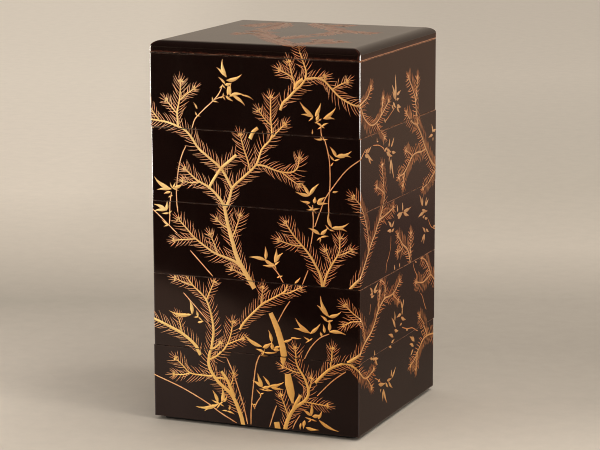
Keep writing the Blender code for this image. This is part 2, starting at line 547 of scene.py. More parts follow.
class Picture:
    """Closed strokes laid out flat. Each is its points (along, up, height), its faces, the coat
    of each face, and the two heights between which it shows."""

    def __init__(self, seed, first_coat=0):
        self.strokes = []
        self.random = random.Random(seed)
        self.first_coat = first_coat

    def stroke(self, line, widths, profile, coat, shown=(0.0, math.inf)):
        """One stroke. A width of zero at an end makes a point there, and any other a flat cut."""
        points = []
        faces = []
        coats = []
        rows = []
        size = len(profile)
        for i, (place, width) in enumerate(zip(line, widths)):
            forward = heading(line, i)
            right = Vector((forward.y, -forward.x))
            if width <= 0:
                rows.append([len(points)])
                points.append((place.x, place.y, 0.0))
                continue
            rows.append(list(range(len(points), len(points) + size)))
            ground = GROUND_WIDTH * min(1.0, width / GROUND_FULL)
            for across, height, side in profile:
                at = place + right * (across * width + side * ground)
                points.append((at.x, at.y, height))
        for one, two in zip(rows, rows[1:]):
            for k in range(size):
                n = (k + 1) % size
                coats.append(coat if profile[k][2] == profile[n][2] == 0 else GROUND)
                if len(one) == 1:
                    faces.append((one[0], two[n], two[k]))
                elif len(two) == 1:
                    faces.append((one[k], one[n], two[0]))
                else:
                    faces.append((one[k], one[n], two[n], two[k]))
        for cap in (rows[0][::-1], rows[-1]):
            if len(cap) > 1:
                faces.append(cap)
                coats.append(coat)
        self.strokes.append((points, faces, [self.first_coat + number for number in coats], shown))

    def needle(self, root, direction, length, bend, width, shown):
        """A pine needle, widest in its lower half, that bends towards the twig's tip."""
        line = [root]
        for part, turn in ((0.4, bend * 0.3), (0.35, bend * 0.8), (0.25, bend * 1.3)):
            line.append(line[-1] + turned(direction, turn) * (length * part))
        self.stroke(line, [width * 0.8, width, width * 0.72, 0.0], HAIR, THIN, shown)

    def bud(self, tip, direction, width, shown):
        """The crown of short thick scales and close needles at a twig's tip."""
        for turn, behind in ((-44, 3.6), (40, 2.8), (-28, 1.6), (26, 1.0), (-9, 0.2), (8, -0.4)):
            turn += self.random.uniform(-4, 4)
            reach = self.random.uniform(9.0, 10.6) - behind * 0.4
            self.needle(tip - direction * behind, turned(direction, turn), reach, -turn * 0.08,
                        width, shown)
        for k in range(SCALES):
            turn = -70 + 35 * k + self.random.uniform(-7, 7)
            reach = self.random.uniform(2.8, 4.0)
            way = turned(direction, turn)
            start = tip + way * 0.5
            self.stroke([start, start + way * reach * 0.45, start + way * reach], [0.4, 0.95, 0.0],
                        STEM, THICK, shown)

    def bough(self, points, root, tip, reach=REACH, bare=0.0, bud=True, gap=3.4, needle=0.36, lean=47,
              floor=0.0, ceiling=math.inf):
        """A pine bough, with needles on both sides and a bud, from its root to its tip.

        root and tip are its widths there, and needle the width of a needle. The first share bare
        has none, then there is one at each gap. It shows between the heights floor and ceiling.
        """
        shown = (floor, ceiling)
        line = smooth_line(points, 2.0)
        count = len(line) - 1
        widths = [BOUGH_SHARE * (root + (tip - root) * i / count) for i in range(count + 1)]
        self.stroke(line, widths, STEM, THICK, shown)
        fine = smooth_line(points, gap / FINE)
        steps = len(fine) - 1
        for side, at in ((-1, 3), (1, 7)):
            while at < steps:
                if at / steps >= bare:
                    span = min(1.0, ROOT_NEEDLES + at * gap / FINE / ROOT_RUN)
                    if bud:
                        span = min(span, TIP_NEEDLES + (steps - at) * gap / FINE / TIP_RUN)
                    span = reach * span * self.random.uniform(0.86, 1.11)
                    turn = side * (lean + self.random.uniform(-1, 11))
                    bend = -side * self.random.uniform(7, 20)
                    self.needle(fine[at], turned(heading(fine, at), turn), span, bend, needle, shown)
                at += self.random.choice((8, 8, 9, 9, 9, 9, 9, 11))
        if bud:
            self.bud(fine[-1], heading(fine, steps), needle, shown)

    def boughs(self, rows, **shared):
        """Boughs, each (points, root, tip), then maybe its reach, and then what else it has."""
        for points, root, tip, *more in rows:
            reach = more[0] if more else REACH
            own = more[1] if len(more) > 1 else {}
            self.bough(points, root, tip, reach, **shared, **own)

    def cut_wood(self, points, widths):
        """A bare piece of thick wood or bamboo with sawn ends."""
        line = smooth_line(points, 2.0)
        self.stroke(line, spread(widths, len(line)), STEM, THICK)

    def hair(self, points, width):
        """A thin bamboo stem, drawn with one fine line that swells a little at its joints."""
        line = smooth_line(points, 3.0)
        widths = [width * (1.25 if i % 6 == 3 else 1.0) for i in range(len(line))]
        widths[0] = width * 0.6
        widths[-1] = width * 0.5
        self.stroke(line, widths, HAIR, THIN)

    def leaf(self, root, tip, width=None, bend=0.05):
        """A bamboo leaf: a lens that bends a little and ends in a long point."""
        root = Vector(root)
        way = Vector(tip) - root
        width = width or max(1.3, min(3.4, way.length * 0.21))
        side = Vector((way.y, -way.x)) * bend
        line = []
        count = len(LEAF_WIDTHS) - 1
        for k in range(count + 1):
            t = k / count
            line.append(root + way * t + side * (4 * t * (1 - t)))
        self.stroke(line, [width * share for share in LEAF_WIDTHS], LEAF, THICK)

    def single_leaves(self, start, rows):
        """Leaves, each (root along, root up, tip along, tip up), and maybe its width and bend."""
        for along, up, tip_along, tip_up, *shape in rows:
            self.leaf((start + along, up), (start + tip_along, tip_up), *shape)

    def fan(self, root, *tips):
        """Leaves from one root, which bend to one side and the other in turn."""
        for k, tip in enumerate(tips):
            self.leaf(root, tip, bend=0.05 if k % 2 else -0.05)

    def spray(self, root, size, lean):
        """A spray of bamboo leaves: a fan of long ones with two or three short ones behind."""
        root = Vector(root)
        ahead = Vector((math.cos(math.radians(lean)), math.sin(math.radians(lean))))
        for turn, reach in ((-62, 12), (-28, 17), (4, 21), (38, 16), (70, 12), (128, 8), (-120, 8)):
            turn += self.random.uniform(-9, 9)
            reach *= size * self.random.uniform(0.85, 1.15)
            way = turned(ahead, turn)
            start = root + way * 1.2 - ahead * self.random.uniform(0, 5) * size
            self.leaf(start, start + way * reach, bend=0.10 if turn > 0 else -0.10)


# ---------------------------------------------------------------- the picture, in millimetres
RIGHT = WIDTH  # where the right side begins, along
ABOVE_SEAM = {"floor": SEAM[2]}  # not below the third tray
BELOW_SEAM = {"ceiling": SEAM[2] - GAP}  # not above the fourth tray
FAR_NEEDLES = {"gap": 3.8, "needle": 0.60, "lean": 62}  # broad and loose, as on the right side
LID_NEEDLES = {"reach": 18.0, "gap": 2.6, "needle": 1.3}  # long, broad and close

# Boughs of the front, each with its points from the root to the tip, its widths there, and maybe
# the length of its needles and what else it has.
BOUGHS = [
    # the leaning trunk in the middle of the front, and its long low bough
    ([(109.5, 142.5), (100, 157), (91, 172), (87, 185), (82, 202), (79.5, 214),
      (77.5, 224)], 6.2, 3.9, REACH, {"bud": False}),
    ([(81, 200.5), (76, 203), (70.5, 207.5)], 1.7, 1.2, 10.5),
    ([(86, 191), (90, 200), (94.5, 213)], 1.8, 1.2),
    ([(97, 161), (88, 168), (70, 173.5), (60, 178.5), (46, 188), (38, 196), (29, 205)], 3.4, 1.4),
    ([(46.5, 187), (38, 186), (24, 184)], 1.7, 1.2, 11.5),
    ([(70, 174), (67.5, 182), (63, 192)], 1.6, 1.2, 11.5),
    ([(100, 155), (94, 156.5), (86, 160)], 1.6, 1.1, 10.5, ABOVE_SEAM),
    # the bough that leaves the front over its left edge, and the two that cross it
    ([(86, 240), (75, 258), (60, 270), (50, 278), (38, 293), (20, 300.5), (0, 303), (-22, 306),
      (-44, 316)], 3.3, 1.5),
    ([(30, 298), (29, 311), (32, 326), (33, 341)], 2.3, 1.3),
    ([(31.5, 323), (38, 328.5), (47, 335)], 1.5, 1.1, 9.5),
    ([(29, 310), (24, 315), (18, 322)], 1.6, 1.1, 10.5),
    ([(9, 303.5), (4, 309), (-3, 319)], 1.7, 1.1, 11.5),
    ([(78, 221), (72, 230), (62, 239), (50, 245), (43, 250), (36, 256)], 3.8, 1.5),
    ([(51, 244), (43, 242.5), (34, 244)], 1.6, 1.1, 10.5),
    ([(61, 238), (67, 248), (75, 259), (83, 266),
      (91, 273)], 3.2, 3.5, REACH, {"bud": False, "bare": 0.35}),
    # the right fork of the old trunk, with its sprigs
    ([(80, 221), (84, 232), (87, 241), (100, 253), (112, 265), (118, 280), (128.5, 293), (128, 312),
      (128, 330)], 3.4, 1.4),
    ([(128, 304), (122, 309.5), (116, 317)], 1.5, 1.1, 10.5),
    ([(129, 292), (134, 297), (142, 305)], 1.6, 1.1, 11.5),
    ([(105, 259), (103, 268), (99, 279), (95.5, 292)], 2.0, 1.3),
    ([(112, 264.5), (120, 264), (130, 261), (140, 259), (150, 260), (155, 264.5),
      (157, 273)], 2.3, 1.3),
    ([(139, 258.5), (145, 254.5), (156, 247.5)], 1.6, 1.1, 10.5),
    # the bough that forks at the top: up over the lid, and round the right corner
    ([(138, 319), (141, 326), (147, 331.5), (153, 338), (159, 343),
      (165, 351)], 3.4, 2.2, REACH, {"bud": False}),
    ([(153.5, 341), (152.5, 348), (148, 352.5), (138, 357.5)], 2.0, 1.2, 11.5),
    ([(151.5, 349), (149.5, 356), (147.5, 365)], 1.6, 1.1, 10.5),
    ([(164, 349), (165, 357), (162, 366), (158.5, 375), (155.5, 382)], 2.0, 1.0, 11.5),
    ([(163.5, 350), (175, 351.5), (183, 349.5), (191, 342), (200, 334), (212, 328), (222, 325),
      (230, 315), (240, 308.5), (250, 304.5), (262, 305), (275, 310), (296, 321.5)], 2.4, 1.3),
    ([(192, 341.5), (198, 345.5), (206, 349.5)], 1.5, 1.1, 10.5),
    ([(176, 351), (183, 353)], 1.3, 1.0, 7.5),
    ([(217, 327), (230, 330), (240, 333.5), (248, 341)], 1.9, 1.2, 11.5),
    ([(275, 310), (278, 317), (281, 326)], 1.5, 1.1, 10.5),
    ([(264, 304.5), (272, 297), (283, 289)], 1.6, 1.1, 10.5),
    # two sprays that start at the foot of the third tray, and the bough that turns the corner
    ([(181, 148), (179, 160), (174, 170), (166, 182), (152, 197),
      (143, 209)], 3.4, 1.4, REACH, ABOVE_SEAM),
    ([(160, 188.5), (150, 188.5), (136, 192)], 1.7, 1.2, 12),
    ([(181.5, 148), (185, 161), (190, 171), (198, 185), (199, 198)], 2.8, 1.3, REACH, ABOVE_SEAM),
    ([(190, 172), (188, 178), (184.5, 185)], 1.6, 1.1, 10.5),
    ([(196, 181.5), (202, 183.5), (210, 187.5)], 1.5, 1.1, 10.5),
    ([(208, 148), (215, 156), (226, 166), (235, 175), (250, 190), (260, 198), (271, 208.5),
      (285, 210.5), (308, 214)], 3.4, 1.4, REACH, ABOVE_SEAM),
    ([(242, 183), (242, 193), (239, 203), (232, 217), (222, 230), (213, 239)], 1.9, 1.2),
    ([(270, 208.5), (278, 218), (283, 228), (282, 240), (277, 261)], 2.0, 1.3),
    ([(283.5, 233), (274, 238), (263, 243)], 1.6, 1.1, 10.5),
    # the trunk that rises from the foot of the front, left of its middle
    ([(97.5, 2), (94, 15), (85, 33), (70, 45.5), (60.5, 61), (63, 80), (65, 100), (58, 126),
      (43, 140.5),
      (34, 152)], 5.4, 1.5, REACH, {"bud": False, **BELOW_SEAM, "bare": 0.06}),
    ([(43, 140.5), (35, 142), (25, 145.5)], 1.5, 1.1, 10.5, BELOW_SEAM),
    ([(58, 127), (61.5, 135), (66, 145)], 1.7, 1.2, 10.5, BELOW_SEAM),
    ([(64, 78), (67, 79.5), (72, 84)], 2.0, 1.4, 8.5),
    ([(61.5, 67), (69, 71), (76, 78), (81, 86), (84, 95), (86, 106)], 2.3, 1.3),
    ([(80, 84), (88, 87.5), (96, 91)], 1.5, 1.1, 10.5),
    ([(64, 50), (52, 50), (40, 51), (33, 57), (25, 64)], 2.1, 1.2),
    ([(39, 50.5), (32, 48.5), (23, 48)], 1.6, 1.1, 10.5),
    ([(51.5, 70.5), (46, 79), (38, 86), (28, 92), (10, 99.5), (-8, 106), (-30, 116),
      (-48, 130)], 4.4, 1.6),
    ([(30, 91.5), (29.5, 98), (27, 107)], 1.8, 1.2, 10.5),
    ([(87.5, 31), (84, 40), (80, 48), (74, 56)], 4.6, 3.4, 8.5, {"bud": False}),
    ([(84, 43), (86, 48), (87, 54)], 1.6, 1.2, 8.5),
    # the bough on the fourth tray, and the two broken culms of old bamboo
    ([(93.5, 100), (99, 108.5), (112, 122), (120, 129), (140, 141), (144, 147.5),
      (146, 153)], 3.0, 1.5, REACH, {"bud": False, **BELOW_SEAM}),
    ([(138, 139.5), (146, 141), (157, 146.5)], 1.6, 1.2, 10.5, BELOW_SEAM),
    ([(117, 127), (117.5, 134), (118, 143)], 1.5, 1.1, 10.5),
    # the trunk at the foot of the front, right of its middle, and its boughs to the corner
    ([(141.5, 2), (145, 14), (152, 26), (163, 35), (167, 44), (163, 57), (155, 70),
      (152, 86)], 5.4, 1.3),
    ([(158, 62), (150, 63.5), (141, 67)], 1.5, 1.1, 10.5),
    ([(166, 44), (169, 50), (170, 57)], 1.6, 1.1, 9.5),
    ([(162, 34), (172, 33), (186, 32)], 1.6, 1.2, 10.5),
    ([(151, 25), (154, 32), (159, 40)], 4.0, 4.2, REACH, {"bud": False, "bare": 1.0}),
    ([(145, 18), (142, 27), (138, 37)], 1.8, 1.2, 11.5),
    ([(174, 54), (180, 60.5), (190, 69.5), (203, 75.5), (212, 74.5), (222, 67.5), (232, 60.5),
      (242, 58.5), (258, 62)], 3.6, 1.4),
    ([(190, 70), (190.5, 78), (191, 89)], 1.9, 1.2, 11.5),
    ([(239, 58.5), (245, 54), (253, 46)], 1.6, 1.1, 10.5),
    ([(207, 77), (213, 81), (222, 87.5), (232, 94.5), (250, 102), (261, 111), (268, 119),
      (285, 127.5), (300, 127.5), (312, 128.5), (328, 136.5)], 3.6, 1.4),
    ([(268, 119), (270, 127), (272, 137)], 1.6, 1.1, 10.5),
    ([(284, 127), (288, 136), (286, 143), (277, 148)], 1.7, 1.1, 10.5, BELOW_SEAM),
    ([(309, 128), (316, 123), (324, 118)], 1.6, 1.1, 10.5),
    ([(231, 97), (230, 108), (224, 118), (213, 126), (205, 133)], 2.0, 1.2, 12),
    ([(223, 119), (212, 118), (204, 114)], 1.5, 1.1, 10.5),
]

# The boughs that reach the right side from the trunk on the back.
FROM_THE_BACK = [
    ([(545, 2), (540, 30), (528, 62), (512, 100), (500, 140), (488, 182), (468, 216), (445, 233),
      (423, 241), (402, 260), (379, 285), (362, 292), (347, 303)], 7.0, 1.4, 12.5),
    ([(378, 286), (375, 300), (373, 310), (367, 322), (352, 338)], 2.3, 1.3, 12.5),
    ([(373, 312), (376, 322), (378, 334)], 1.5, 1.1, 10.5),
    ([(401, 259.5), (388, 258.5), (375, 259.5), (363, 258), (352, 251.5), (340, 245),
      (325, 243)], 2.1, 1.3, 12.5),
    ([(340, 245), (338, 240), (336, 233)], 1.5, 1.1, 12),
    ([(363, 258.5), (354, 262), (345, 266)], 1.5, 1.1, 10.5),
    ([(436, 236), (425, 229.5), (412, 223.5), (396, 220)], 2.0, 1.2, 12),
    ([(359, 148), (355, 158), (349, 166), (336, 173), (323, 184)], 2.7, 1.3, 12.5, ABOVE_SEAM),
    ([(338, 171), (331, 168), (323, 168)], 1.5, 1.1, 12),
    ([(357, 155), (360, 166), (360, 179)], 1.8, 1.2, 11.5),
    ([(508, 110), (485, 106), (458, 110), (433, 118), (420, 125), (408, 123), (395, 122),
      (377, 126)], 3.2, 1.3, 12.5),
    ([(420, 125), (415, 133), (405, 143), (394, 148)], 1.9, 1.2, 12, BELOW_SEAM),
    ([(534, 46), (505, 46), (470, 53), (433, 60), (415, 62), (402, 61), (386, 52.5), (376, 45.5),
      (364, 42)], 3.2, 1.3, 12.5),
    ([(385, 52), (382, 44), (380, 35)], 1.6, 1.1, 11.5),
    ([(413, 62.5), (407, 70), (400, 78), (388, 88)], 1.9, 1.2, 12),
]

# The plainer sides that close the round: boughs of the same pines, and little else.
BACK_AND_LEFT = [
    ([(499, 143), (515, 165), (530, 188), (552, 206), (580, 214)], 3.0, 1.4),
    ([(531, 189), (530, 203), (538, 222)], 1.9, 1.2),
    ([(540, 28), (558, 50), (584, 66), (614, 70)], 3.2, 1.4),
    ([(569, 58), (574, 72), (572, 90)], 1.9, 1.2),
    ([(490, 176), (480, 190), (476, 208)], 1.8, 1.2, 11.5),
    ([(468, 216), (474, 240), (488, 262), (490, 286)], 2.6, 1.3),
    ([(482, 252), (496, 258), (510, 272)], 1.7, 1.2),
    ([(-150, 2), (-144, 34), (-128, 66), (-118, 104), (-124, 140), (-112, 176), (-92, 206),
      (-84, 238)], 6.0, 1.5),
    ([(-126, 70), (-146, 92), (-172, 102), (-196, 120)], 2.8, 1.3),
    ([(-120, 118), (-98, 134), (-76, 140), (-58, 156)], 2.6, 1.3),
    ([(-123, 142), (-142, 160), (-150, 184)], 2.2, 1.3),
    ([(-140, 44), (-112, 52), (-88, 48), (-66, 58)], 2.4, 1.3),
    ([(-109, 180), (-128, 204), (-130, 226)], 2.0, 1.2),
]

# Bare pieces of old trunk and bamboo, each with its points and widths.
CUT_WOOD = [
    ([(105.5, 289.5), (109, 296), (114.5, 300.5)], [3.6, 3.2, 3.0]),
    ([(153, 340), (156, 345.5), (161.5, 350)], [2.6, 3.2, 3.0]),
    ([(67, 48), (73, 49), (78, 48.5)], [1.6, 2.0, 1.8]),
    ([(126.5, 119.5), (133.5, 104), (138.5, 88), (140.5, 77.5)], [4.4, 5.8, 6.2, 6.6]),
    ([(140.5, 77.5), (140.2, 74), (139.5, 70)], [6.4, 5.4, 3.0]),
    ([(145, 60), (146.5, 50), (148.5, 41), (150, 31)], [6.0, 8.4, 7.6, 1.6]),
    ([(134.5, 2), (133, 10.5)], [6.0, 5.4]),
]

# The long fine stems of the bamboo, under their width.
HAIRS = {
    0.85: [[(37.5, 279), (33, 270), (29, 256), (26.5, 236), (26.5, 226), (28, 212)],
          [(-60, 250), (-30, 235), (0, 214), (27, 191)], [(41, 175), (52, 164), (65, 151)],
          [(233, 284), (220, 276), (205, 264.5), (191, 247), (183, 235), (177, 219), (173, 208)],
          [(166, 165), (160, 150.5)], [(147, 133), (141, 124), (134, 111)],
          [(33, 132), (45, 120), (60, 105)], [(206, 68), (195, 60), (185, 50.5), (176, 41)],
          [(158, 20), (153, 12), (150, 5)], [(116, 34), (112, 28), (109, 21)],
          [(45, 297), (48, 305.5), (57, 315), (67, 324), (74, 332), (78, 341)],
          [(180, 306), (180.5, 297), (184, 290), (188, 272), (188.5, 250), (187, 232), (187.5, 219)],
          [(170.5, 229), (171.5, 215), (171, 203), (169, 191)], [(128, 166), (134, 160), (140, 150.5)],
          [(21, 232), (19.5, 222), (19, 205), (18, 198)], [(560, 262), (575, 244), (584, 224)],
          [(-80, 330), (-96, 306), (-104, 276)]],
    1.0: [[(-46, 64), (-20, 55), (0, 46), (30, 35.5), (57, 23), (72, 14), (90, 5)],
          [(80, 70), (87, 55), (93, 38), (98, 22), (102, 5)],
          [(105.5, 5), (106, 22), (109, 50), (112, 68), (117, 79)], [(133, 27), (130, 19), (125.5, 5)]],
    0.7: [[(66.5, 324.5), (72, 327), (80, 330)]],
    0.9: [[(188, 104), (178, 99), (168, 88), (161, 75)]],
    0.65: [[(287, 303), (298, 307), (304, 309.5), (313, 313)],
          [(252, 285), (267.8, 282.8), (280, 278.3), (283, 275.5)],
          [(303, 187), (302, 176), (296.7, 167), (292, 163), (289, 153)],
          [(411, 185), (420, 176), (433, 171)], [(248, 130), (245.5, 120.5)],
          [(367, 148), (371, 140.5), (380, 131.7)], [(262, 53), (270, 49.5), (278, 45)],
          [(336, 87.8), (350.8, 83.3), (365, 81), (373, 77.8), (385, 73.3)],
          [(389.7, 112), (395, 107.8), (400.8, 99), (407.4, 91)]],
}

# Bamboo leaves of the front, each (root along, root up, tip along, tip up), and maybe its width
# and its bend. None is the usual width for its length.
LEAVES = [
    (80.5, 349, 71, 357.5), (82, 348, 78, 365.5, 4.0, -0.12), (82, 345, 98.5, 351.8, 3.6, 0.10),
    (80.5, 341.5, 73, 348), (80, 340.5, 88, 343, 2.6), (83, 330.5, 83.5, 342, 2.8, 0.04),
    (86, 330.5, 87, 342.5, 3.4, -0.10), (85, 329.5, 101, 331.5, 3.2, -0.12),
    (98, 331.3, 110.5, 327, 1.5, -0.10), (89, 330, 101.5, 321, 3.0, -0.08), (81, 330, 89, 325, 2.4),
    (50.5, 315.5, 46.5, 322), (174, 315, 180, 328, 3.4), (175, 311, 178, 318, 3.0),
    (182.5, 313, 195.5, 325, None, 0.08), (182.5, 313, 194.5, 313.2, None, -0.08),
    (171, 297.5, 171, 302.5), (195, 277, 188, 287, 3.0), (195, 277.5, 211, 284, None, 0.10),
    (195, 277.5, 210.5, 277.5, None, -0.10), (189, 268, 192, 272), (172, 231, 173, 237.5, 3.6),
    (175.5, 230.5, 184, 237.5, 3.4, -0.1), (191, 243, 197, 244.2, 1.8),
    (190.5, 208.5, 187, 222.5, 3.2, -0.1), (190.5, 208, 208, 214, None, 0.10),
    (190.5, 208, 206.5, 205.5, None, -0.10), (178, 201, 166, 206.5, 3.2),
    (179, 201, 186.5, 208, 3.4), (121.5, 171.5, 104, 173.3, 3.4), (121.5, 172, 121, 185.5, 3.4),
    (121, 172, 131.5, 168.5, 3.4, 0.14), (131, 170, 132.8, 184, 3.6),
    (132, 170, 140, 180, 3.2, -0.1), (152, 151, 158, 157.5, 2.0), (19, 236, 2, 247, 3.9, -0.12),
    (21, 235, 4.5, 233, 3.2), (20, 232, 12.5, 229.8, 2.4), (24, 237, 33, 240.8, 3.2, 0.1),
    (15, 214, 1.5, 218.8, 3.4), (15, 213.5, 2, 212, 3.0), (15, 213, 16.5, 223.5, 3.0),
    (40.5, 110.5, 16.5, 112.8, 3.6, -0.10), (41, 110.5, 30, 107, 2.6),
    (42, 111, 39, 126, 3.6, 0.08), (48.5, 109, 46.5, 115.5, 2.2), (48, 103.3, 54.5, 105, 2.0),
    (70, 22, 45, 17.5, 3.6, -0.10), (68, 21, 55, 13.5, 3.4), (70, 24, 64, 36, 3.4),
    (74, 25, 74.5, 40, 3.6, 0.1), (76, 25, 80, 31.5, 2.6), (82, 17.5, 83, 23, 2.2),
    (168, 103, 152.5, 117, 3.8, -0.10), (167, 103.5, 150.5, 106, 3.2),
    (168, 102.5, 179, 113.5, 3.2), (187.5, 121, 179, 141, 4.0, -0.1), (186, 121.5, 175, 131.5, 3.4),
    (187, 121, 200.5, 127, 3.4, 0.10), (186, 116, 179, 121.5, 2.6), (186, 116, 192, 118, 2.0),
    (188, 107, 187.5, 117.5, 3.4), (183, 104.5, 181.5, 113, 2.8),
    (188, 106, 205.5, 104.5, 3.4, -0.08), (180, 101, 178.5, 105.5, 2.4), (118, 44, 107, 50, 3.2),
    (118.5, 45, 113, 58.5, 3.6, -0.06), (126, 46, 118.5, 55.5, 2.8),
    (125, 46, 141.5, 51.8, 3.2, 0.08), (126, 45.5, 141, 44.2, 2.6), (118, 43.5, 128, 46.5, 3.2),
    (117, 85, 97, 97, 3.8, -0.10), (127.5, 90, 124, 102.5, 3.4, 0.05),
    (139.5, 92, 150, 97, 2.4, 0.1), (148, 97, 159, 97, 1.6), (118, 84, 127.5, 90, 4.0),
    (128, 83, 127, 91, 3.6), (130, 84.5, 137, 88, 2.8), (129, 83, 137, 83.5, 2.6),
    (119, 79.5, 110, 82, 2.4), (119, 79.5, 133, 80.5, 1.9), (169, 20.5, 161, 25.5, 3.0),
    (169.5, 20.5, 170, 34, 3.2), (171, 20, 180, 22.5, 3.6), (177, 18, 181, 27, 2.4),
    (178, 17, 199.5, 7.5, 3.2, 0.08), (163, 15, 161.5, 6, 3.4), (164, 8, 178, 7, 3.0),
    (159, 12, 158, 5, 2.0),
]

# Small fans of leaves: the root that they share, and their tips.
FANS = [
    [(78, 329), (80.5, 325.5), (78.5, 333), (74, 327.5)], [(67, 324), (73.5, 323), (66.5, 328.5)],
    [(78, 340), (74, 337), (81, 337)], [(50, 309), (54, 308.5), (48, 313)],
    [(172, 314.5), (158, 328.5), (159.5, 316), (167, 309.8)],
    [(181, 306), (188, 309.3), (173, 309.5), (176, 302.5), (184, 304)],
    [(178, 311), (181, 313), (174, 308)], [(181, 293), (172, 293.5), (187, 294), (178, 296)],
    [(193, 273.5), (187.5, 279.5), (199, 275.8)],
    [(167, 238), (152.5, 241), (158, 250.5), (177.5, 250.5)],
    [(168, 231.5), (157.5, 232.5), (164, 229)], [(176, 230), (187, 231.5)],
    [(171, 225), (165, 229.5), (178, 226.5), (164, 224), (175, 221)],
    [(188, 206.5), (184, 211), (194, 205.3)],
    [(179, 198), (187.5, 200), (175, 194.5), (178, 192.5)],
    [(131, 167), (136.5, 171.5), (124, 169), (118, 166.3), (133, 163)],
    [(136, 156.5), (133, 155), (139.5, 157.5)],
    [(22, 236), (19.5, 242), (25.5, 242.5), (29, 233.5)], [(20, 228), (17, 226.5), (22.5, 229)],
    [(18, 211), (10, 210.2), (21.5, 213.5), (20, 208)], [(18, 199), (10, 204), (12, 196.5)],
    [(49, 109), (43, 108.3), (54.5, 104.5)], [(72, 23), (63, 26), (77, 20.5), (68, 17), (76, 25.5)],
    [(80, 16), (88, 13.5), (74, 16)], [(168, 96), (161, 99), (163, 92.5), (170.5, 98)],
    [(116, 37), (111.5, 41.5), (120, 38.8), (116, 33.5)], [(121, 41), (129.5, 41.3), (114, 42)],
    [(108, 25), (106, 28.5), (110.5, 21.5), (112, 26)], [(117, 76), (124, 75.8), (120, 83)],
    [(170, 17), (163, 18.5), (176, 15.5), (166, 13.5)],
]

# Leaves of the right side, like those of the front but along from its own corner.
RIGHT_LEAVES = [
    (95.5, 320, 94, 346, 3.6), (93.5, 325, 85, 337, 3.4), (93, 322, 86, 330, 2.6),
    (99, 325.5, 110, 328.5, 3.2), (98, 321, 106, 321, 2.6), (100, 315, 111, 311.5, 3.4),
    (99, 313.5, 107.5, 306.5, 3.0), (89, 319, 97, 312.5, 3.2), (85, 317, 91, 312, 2.4),
    (65, 305.5, 69, 302, 2.4), (12.5, 281, 21, 284.5, 3.0), (17, 280, 28, 285, 2.8),
    (14.5, 280, 33, 270, 3.6), (21, 275.5, 27.5, 267.5, 3.2), (11, 279, 22, 275, 3.0),
    (43, 287, 43, 291), (43, 287, 47, 287), (63, 275, 72, 278, 3.0), (75, 277, 78, 285, 3.2),
    (82, 276.5, 90, 284.5, 3.2), (69, 273, 86, 266.5, 3.8), (70, 276, 83, 271, 3.4),
    (84, 271, 95.5, 269, 3.0), (77, 267, 76, 262, 2.0), (82, 264.5, 79, 249, 3.6),
    (83, 263, 90.5, 243, 3.4), (203, 273, 199, 282.5, 3.2), (203, 270.5, 189.5, 269.4, 3.2),
    (203, 275, 214, 275.5, 3.0), (204, 268, 203, 264, 2.4), (84.5, 196, 74.5, 203.5, 3.4),
    (84.5, 191.7, 72, 194, 3.4), (85.5, 196, 92, 201.5, 3.2), (85.5, 191.7, 92, 193.5, 2.8),
    (102, 208, 99, 216.5, 3.0), (116, 207, 115, 215.5, 2.8), (119, 206, 141, 207, 3.6),
    (118, 205, 135, 199, 3.4), (100, 205, 118, 206, 3.8), (102, 202, 114, 204, 3.2),
    (173, 202, 164.5, 215, 3.4), (174, 202, 174, 211, 3.0), (183, 200.5, 192, 206.5, 3.2),
    (182, 201, 186, 209, 2.8), (178.5, 194, 161.5, 192, 3.6), (173, 198, 190, 194, 3.4),
    (175, 189.5, 182, 191, 2.4), (181, 188, 191, 186.5, 2.6), (183, 173, 174, 179.5, 3.2),
    (185, 176, 194, 171.5, 2.8), (181, 171, 171, 164.5, 3.4), (181, 170, 178, 161.5, 3.0),
    (207, 174.5, 214, 175, 2.6), (94, 151, 93, 156.5, 2.2), (107.5, 151, 108, 155.5, 2.0),
    (36.5, 141.5, 48, 148, 3.0), (36, 141, 49, 140.5, 3.2), (33, 140.5, 26, 147, 3.2),
    (34, 139, 26.5, 139.5, 2.8), (29, 137, 38, 137, 2.4), (154, 148, 158, 146.5, 1.8),
    (29, 77, 38, 73, 3.0), (39, 75.5, 39, 82, 2.6), (41, 73, 52, 71, 3.2), (43, 71, 50, 64.4, 3.2),
    (37, 74, 44, 72, 3.2), (50.5, 47.5, 57, 49, 2.4), (52, 44.5, 73, 41, 3.6),
    (65.5, 36, 64.4, 23.3, 3.4), (66, 36, 76.7, 18.9, 3.4), (59, 38, 57.5, 34.5, 2.0),
    (80, 40, 92, 31, 3.2), (72, 41, 80, 34.5, 3.0), (89, 42, 101, 51, 3.2),
    (86.7, 43.5, 89, 50.5, 2.8), (76, 42.5, 89, 42, 3.0), (96.7, 92, 85.5, 104.5, 3.6),
    (95.5, 99, 94.4, 109, 2.8), (91, 83.5, 76.7, 89, 3.4), (85.5, 79, 94.4, 81, 2.8),
    (87.8, 73.5, 80, 75.5, 2.6), (94.4, 90, 105.5, 86.7, 3.4), (115.5, 107.5, 111, 117, 3.0),
    (116, 107.5, 120.5, 116, 3.0), (115.5, 101, 116, 109, 2.8), (113, 101.7, 100, 101, 3.2),
    (113, 99, 127, 93.5, 3.4), (115, 92, 109.5, 91, 2.4), (128, 83, 134, 81.5, 2.2),
    (152, 65.5, 140, 72.8, 3.4), (152, 60, 139.7, 65, 3.2), (150.8, 56.7, 144, 52, 2.8),
    (154, 64.4, 148.5, 72, 2.8),
]

# Sprays on the two hidden sides: root, size, and the way they point in degrees.
SPRAYS = [((560, 262), 1.0, 100), ((600, 140), 1.0, 70), ((-80, 330), 1.0, 110),
          ((-60, 252), 1.0, 160), ((-176, 60), 1.0, 80)]

